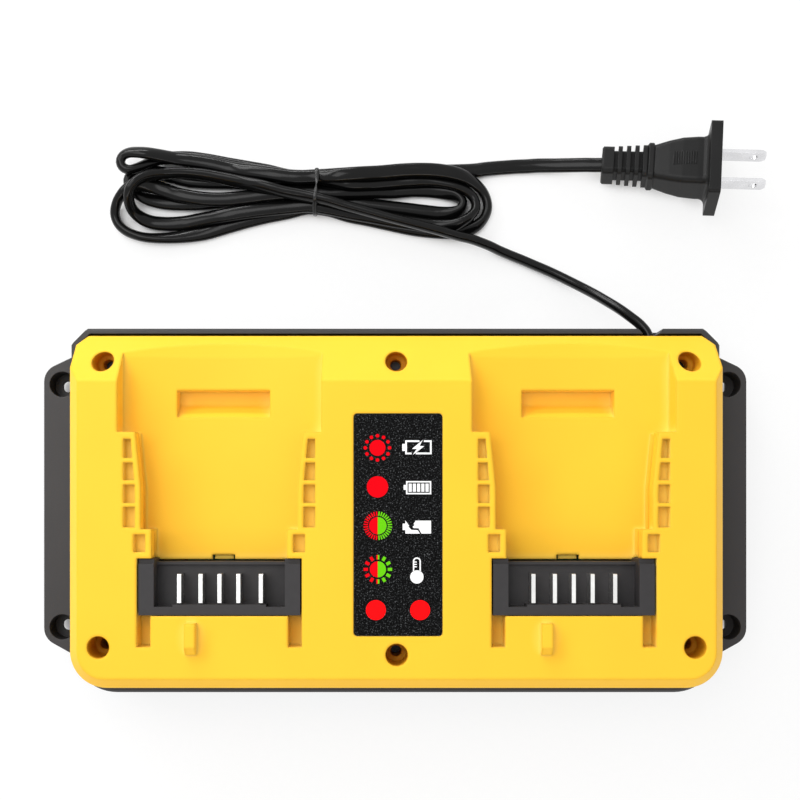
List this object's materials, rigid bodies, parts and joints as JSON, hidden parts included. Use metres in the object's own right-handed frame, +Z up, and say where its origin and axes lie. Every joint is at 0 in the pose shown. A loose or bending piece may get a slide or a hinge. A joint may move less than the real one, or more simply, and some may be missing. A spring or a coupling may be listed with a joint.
{
  "type": "power tool battery charger",
  "caption": "Mains battery charger with side-by-side slide-in battery bays, contact blocks, an indicator panel, wall-mount lugs and a tied flat cord with a plug.",
  "frame": {"origin": "middle of the charger's footprint on the surface that its feet stand on, without the cord and plug", "axes": "+X across the bays to the side where the cord leaves, +Y to the back where batteries slide in and the cord leaves, +Z up"},
  "size_m": [0.289, 0.2276, 0.0565],
  "materials": {
    "yellow_shell": "satin moulded ABS",
    "black_shell": "fine textured moulded ABS",
    "panel_film": "leather-grain printed film",
    "dark_screw": "black zinc plated",
    "plated_steel": "bright zinc plated",
    "red_lens": "tinted clear lens",
    "contact_block": "fine textured moulded nylon",
    "contact_metal": "bright tin plated",
    "wire_insulation": "PVC insulation",
    "sink_metal": "mill finish",
    "led_body": "cast epoxy",
    "capacitor_sleeve": "shrunk sleeve",
    "foot_rubber": "moulded rubber",
    "circuit_board": "solder mask",
    "ferrite": "fired ferrite",
    "winding_tape": "polyester tape",
    "copper_winding": "enamelled wire",
    "chip_body": "moulded epoxy",
    "fuse_body": "glass tube with metal caps",
    "connector_body": "nylon",
    "gland_rubber": "moulded rubber",
    "cord_jacket": "semi-gloss PVC jacket",
    "tie_sleeve": "PVC sleeved wire",
    "plug_moulding": "moulded PVC",
    "plug_metal": "nickel plated brass"
  },
  "bodies": {
    "root": {"top_shell": "yellow_shell", "base_shell": "black_shell", "label_panel": "panel_film", "housing_screws": "dark_screw", "board_screws": "plated_steel", "indicator_window_left": "red_lens", "terminal_block_left": "contact_block", "terminal_blade_left_1": "contact_metal", "terminal_blade_left_2": "contact_metal", "terminal_blade_left_3": "contact_metal", "terminal_blade_left_4": "contact_metal", "terminal_blade_left_5": "contact_metal", "terminal_wires_left": "wire_insulation", "heat_sink_left": "sink_metal", "indicator_led_left": "led_body", "output_capacitor_left": "capacitor_sleeve", "indicator_window_right": "red_lens", "terminal_block_right": "contact_block", "terminal_blade_right_1": "contact_metal", "terminal_blade_right_2": "contact_metal", "terminal_blade_right_3": "contact_metal", "terminal_blade_right_4": "contact_metal", "terminal_blade_right_5": "contact_metal", "terminal_wires_right": "wire_insulation", "heat_sink_right": "sink_metal", "indicator_led_right": "led_body", "output_capacitor_right": "capacitor_sleeve", "foot_front_left": "foot_rubber", "foot_front_right": "foot_rubber", "foot_back_left": "foot_rubber", "foot_back_right": "foot_rubber", "main_board": "circuit_board", "transformer_core": "ferrite", "transformer_coil": "winding_tape", "line_choke": "copper_winding", "mains_capacitor": "capacitor_sleeve", "power_transistors": "chip_body", "bridge_rectifier": "chip_body", "fuse": "fuse_body", "mains_connector": "connector_body", "mains_wires": "wire_insulation", "indicator_board": "circuit_board", "cord_gland": "gland_rubber", "cord_clamp": "black_shell", "clamp_screws": "plated_steel", "power_cord_lead": "cord_jacket", "power_cord_hank": "cord_jacket", "power_cord_tail": "cord_jacket", "hank_tie": "tie_sleeve", "plug_body": "plug_moulding", "plug_blade_1": "plug_metal", "plug_blade_2": "plug_metal"}
  },
  "joints": []
}
